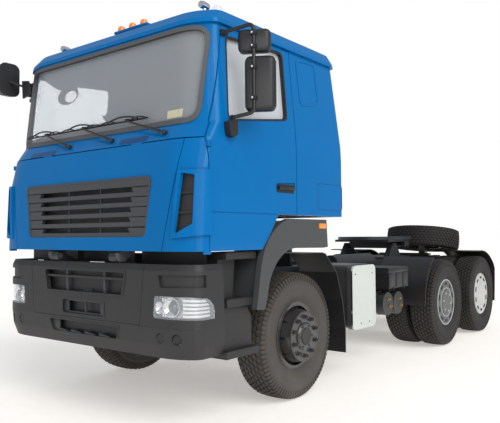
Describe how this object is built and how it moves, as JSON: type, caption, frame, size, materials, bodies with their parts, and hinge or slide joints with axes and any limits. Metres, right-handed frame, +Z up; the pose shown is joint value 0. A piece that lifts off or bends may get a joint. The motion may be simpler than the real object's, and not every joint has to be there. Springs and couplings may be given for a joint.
{
  "type": "semi-trailer tractor unit",
  "caption": "Cab-over tractor unit with sleeper cab, tandem drive axles with twin wheels, fifth wheel, tilting cab, opening doors and steered front wheels.",
  "frame": {"origin": "on the ground under the middle of the vehicle's bounding box", "axes": "+X to the vehicle's left, -Y forward, +Z up"},
  "size_m": [3.0774, 6.7386, 3.309],
  "materials": {
    "tyre_rubber": "matte",
    "rim_steel": "satin",
    "axle_iron": "rough",
    "frame_steel": "satin",
    "coupling_steel": "greased",
    "cab_paint": "gloss",
    "window_glass": "clear",
    "interior_trim": "matte",
    "grey_plastic": "satin",
    "lamp_glass": "clear",
    "roof_lamp_paint": "gloss",
    "black_plastic": "satin",
    "tank_paint": "satin",
    "tank_aluminium": "brushed",
    "tail_lamp_red": "gloss"
  },
  "bodies": {
    "chassis": {"air_tanks": "tank_paint", "arch_flares": "grey_plastic", "battery_box": "black_plastic", "bogie_springs": "axle_iron", "bumper_centre": "grey_plastic", "bumper_corners": "grey_plastic", "cab_steps": "grey_plastic", "engine_block": "axle_iron", "fifth_wheel_mount": "frame_steel", "frame_crossmembers": "frame_steel", "frame_rails": "frame_steel", "front_axle": "axle_iron", "fuel_tank": "tank_aluminium", "headlamps": "lamp_glass", "mudguards": "black_plastic", "rear_bogie": "axle_iron", "silencer": "tank_aluminium", "spare_rim": "rim_steel", "spare_tyre": "tyre_rubber", "tail_lamps": "tail_lamp_red"},
    "cab": {"cab_back": "cab_paint", "cab_front": "cab_paint", "cab_roof": "cab_paint", "cab_sides": "cab_paint", "cab_corners": "cab_paint", "windscreen": "window_glass", "cab_floor": "interior_trim", "dashboard": "interior_trim", "seats": "interior_trim", "roof_lamps": "roof_lamp_paint", "wipers": "black_plastic", "front_mirror": "black_plastic"},
    "door_left_body": {"door_left": "cab_paint", "door_glass_left": "window_glass", "mirrors_left": "black_plastic"},
    "door_right_body": {"door_right": "cab_paint", "door_glass_right": "window_glass", "mirrors_right": "black_plastic"},
    "front_panel_body": {"front_panel": "cab_paint", "front_grille": "grey_plastic"},
    "knuckle_left_body": {"knuckle_left": "axle_iron"},
    "knuckle_right_body": {"knuckle_right": "axle_iron"},
    "front_wheel_left": {"front_tyre_left": "tyre_rubber", "front_rim_left": "rim_steel"},
    "front_wheel_right": {"front_tyre_right": "tyre_rubber", "front_rim_right": "rim_steel"},
    "first_wheels_left": {"first_tyres_left": "tyre_rubber", "first_rims_left": "rim_steel"},
    "first_wheels_right": {"first_tyres_right": "tyre_rubber", "first_rims_right": "rim_steel"},
    "second_wheels_left": {"second_tyres_left": "tyre_rubber", "second_rims_left": "rim_steel"},
    "second_wheels_right": {"second_tyres_right": "tyre_rubber", "second_rims_right": "rim_steel"},
    "fifth_wheel": {"fifth_wheel_plate": "coupling_steel"}
  },
  "joints": [
    {"name": "cab_tilt", "type": "hinge", "parent": "chassis", "child": "cab", "pos_m": [0, -3.324, 1.262], "axis": [1, 0, 0], "range_deg": [0, 55]},
    {"name": "door_left_swing", "type": "hinge", "parent": "cab", "child": "door_left_body", "pos_m": [1.233, -3.19, 1.6], "axis": [0, 0, -1], "range_deg": [0, 70]},
    {"name": "door_right_swing", "type": "hinge", "parent": "cab", "child": "door_right_body", "pos_m": [-1.233, -3.19, 1.6], "axis": [0, 0, 1], "range_deg": [0, 70]},
    {"name": "front_panel_lift", "type": "hinge", "parent": "cab", "child": "front_panel_body", "pos_m": [0, -3.2865, 2.121], "axis": [-1, 0, 0], "range_deg": [0, 60]},
    {"name": "steer_left", "type": "hinge", "parent": "chassis", "child": "knuckle_left_body", "pos_m": [0.84, -1.924, 0.548], "axis": [0, 0, 1], "range_deg": [-35, 35]},
    {"name": "steer_right", "type": "hinge", "parent": "chassis", "child": "knuckle_right_body", "pos_m": [-0.84, -1.924, 0.548], "axis": [0, 0, 1], "range_deg": [-35, 35]},
    {"name": "front_spin_left", "type": "hinge", "parent": "knuckle_left_body", "child": "front_wheel_left", "pos_m": [0.988, -1.924, 0.548], "axis": [1, 0, 0], "continuous": true},
    {"name": "front_spin_right", "type": "hinge", "parent": "knuckle_right_body", "child": "front_wheel_right", "pos_m": [-0.988, -1.924, 0.548], "axis": [1, 0, 0], "continuous": true},
    {"name": "first_spin_left", "type": "hinge", "parent": "chassis", "child": "first_wheels_left", "pos_m": [0.9125, 1.368, 0.548], "axis": [1, 0, 0], "continuous": true},
    {"name": "first_spin_right", "type": "hinge", "parent": "chassis", "child": "first_wheels_right", "pos_m": [-0.9125, 1.368, 0.548], "axis": [1, 0, 0], "continuous": true},
    {"name": "second_spin_left", "type": "hinge", "parent": "chassis", "child": "second_wheels_left", "pos_m": [0.9125, 2.758, 0.548], "axis": [1, 0, 0], "continuous": true},
    {"name": "second_spin_right", "type": "hinge", "parent": "chassis", "child": "second_wheels_right", "pos_m": [-0.9125, 2.758, 0.548], "axis": [1, 0, 0], "continuous": true},
    {"name": "fifth_wheel_rock", "type": "hinge", "parent": "chassis", "child": "fifth_wheel", "pos_m": [0, 1.636, 1.262], "axis": [1, 0, 0], "range_deg": [-10, 10], "stiffness_Nm_per_rad": 8000}
  ],
  "couplings": [
    {"joint": "steer_right", "follows": "steer_left", "ratio": 1}
  ]
}
